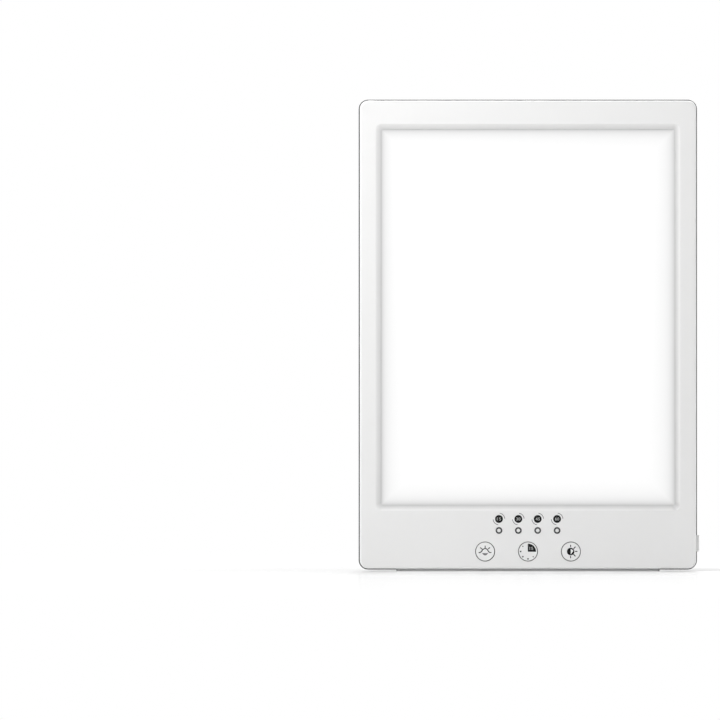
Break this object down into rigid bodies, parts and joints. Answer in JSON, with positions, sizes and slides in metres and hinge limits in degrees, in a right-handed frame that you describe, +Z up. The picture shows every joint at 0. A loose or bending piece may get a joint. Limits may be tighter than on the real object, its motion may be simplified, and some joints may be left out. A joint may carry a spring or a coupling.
{
  "type": "light therapy lamp",
  "caption": "Slim upright light panel with round control keys below the lit window, a side power button and a fold-out friction foot at the back.",
  "frame": {"origin": "on the surface the lamp stands on, under the middle of the case's depth and width", "axes": "+X to the lamp's right seen from the front, +Y back from the lit face towards the foot, +Z up"},
  "size_m": [0.181, 0.105, 0.2508],
  "materials": {
    "white_plastic": "fine satin moulded ABS",
    "white_key": "smooth satin ABS",
    "grey_plastic": "fine spark texture ABS",
    "rubber": "matte silicone rubber",
    "gasket_foam": "grey closed cell foam",
    "lit_diffuser": "opal sheet, lit",
    "clear_acrylic": "polished clear acrylic",
    "milky_acrylic": "milky acrylic, polished end",
    "reflector": "white film",
    "aluminium": "mill finish sheet",
    "led_board": "white solder mask",
    "led_chip": "phosphor coated",
    "circuit_board": "green solder mask",
    "black_plastic": "moulded nylon",
    "ferrite": "ferrite block",
    "capacitor_can": "drawn can",
    "nickel": "nickel plated brass",
    "connector_nylon": "natural nylon",
    "lead_red": "PVC insulation",
    "lead_black": "PVC insulation",
    "steel_pin": "ground steel",
    "screw_steel": "black zinc plated",
    "spring_steel": "spring temper strip",
    "painted_steel": "fine textured powder coat",
    "ring_grey": "smooth moulding"
  },
  "bodies": {
    "case": {"front_frame": "white_plastic", "rear_cover": "grey_plastic", "base_strip": "rubber", "panel_gasket": "gasket_foam", "diffuser": "lit_diffuser", "light_guide": "clear_acrylic", "reflector_sheet": "reflector", "back_pan": "aluminium", "led_board_left": "led_board", "led_row_left": "led_chip", "led_board_right": "led_board", "led_row_right": "led_chip", "control_board": "circuit_board", "mode_switch": "black_plastic", "timer_switch": "black_plastic", "brightness_switch": "black_plastic", "indicator_ring_1": "ring_grey", "indicator_ring_2": "ring_grey", "indicator_ring_3": "ring_grey", "indicator_ring_4": "ring_grey", "light_pipe_1": "milky_acrylic", "light_pipe_2": "milky_acrylic", "light_pipe_3": "milky_acrylic", "light_pipe_4": "milky_acrylic", "indicator_lamps": "led_chip", "driver_chip": "black_plastic", "boost_inductor": "ferrite", "smoothing_capacitors": "capacitor_can", "power_switch": "black_plastic", "power_socket": "black_plastic", "power_socket_pin": "nickel", "lead_connectors": "connector_nylon", "led_lead_left": "lead_red", "led_lead_right": "lead_red", "switch_lead": "lead_black", "hinge_pin_left": "steel_pin", "hinge_pin_right": "steel_pin", "case_screws": "screw_steel", "board_screws": "screw_steel"},
    "stand": {"stand_plate": "painted_steel", "stand_pad_left": "rubber", "stand_pad_right": "rubber", "friction_sleeve_left": "spring_steel", "friction_sleeve_right": "spring_steel"},
    "mode_button": {"mode_key": "white_key", "mode_plunger": "black_plastic"},
    "timer_button": {"timer_key": "white_key", "timer_plunger": "black_plastic"},
    "brightness_button": {"brightness_key": "white_key", "brightness_plunger": "black_plastic"},
    "power_push": {"power_button": "white_key", "power_plunger": "black_plastic"}
  },
  "joints": [
    {"name": "stand_hinge", "type": "hinge", "parent": "case", "child": "stand", "pos_m": [0, 0.0058, 0.004], "axis": [1, 0, 0], "range_deg": [0, 90]},
    {"name": "mode_press", "type": "slide", "parent": "case", "child": "mode_button", "axis": [0, 1, 0], "range_m": [0, 0.0005], "stiffness_N_per_m": 1500, "springref_m": -0.0005},
    {"name": "timer_press", "type": "slide", "parent": "case", "child": "timer_button", "axis": [0, 1, 0], "range_m": [0, 0.0005], "stiffness_N_per_m": 1500, "springref_m": -0.0005},
    {"name": "brightness_press", "type": "slide", "parent": "case", "child": "brightness_button", "axis": [0, 1, 0], "range_m": [0, 0.0005], "stiffness_N_per_m": 1500, "springref_m": -0.0005},
    {"name": "power_press", "type": "slide", "parent": "case", "child": "power_push", "axis": [-1, 0, 0], "range_m": [0, 0.0009], "stiffness_N_per_m": 2000, "springref_m": -0.0005}
  ]
}
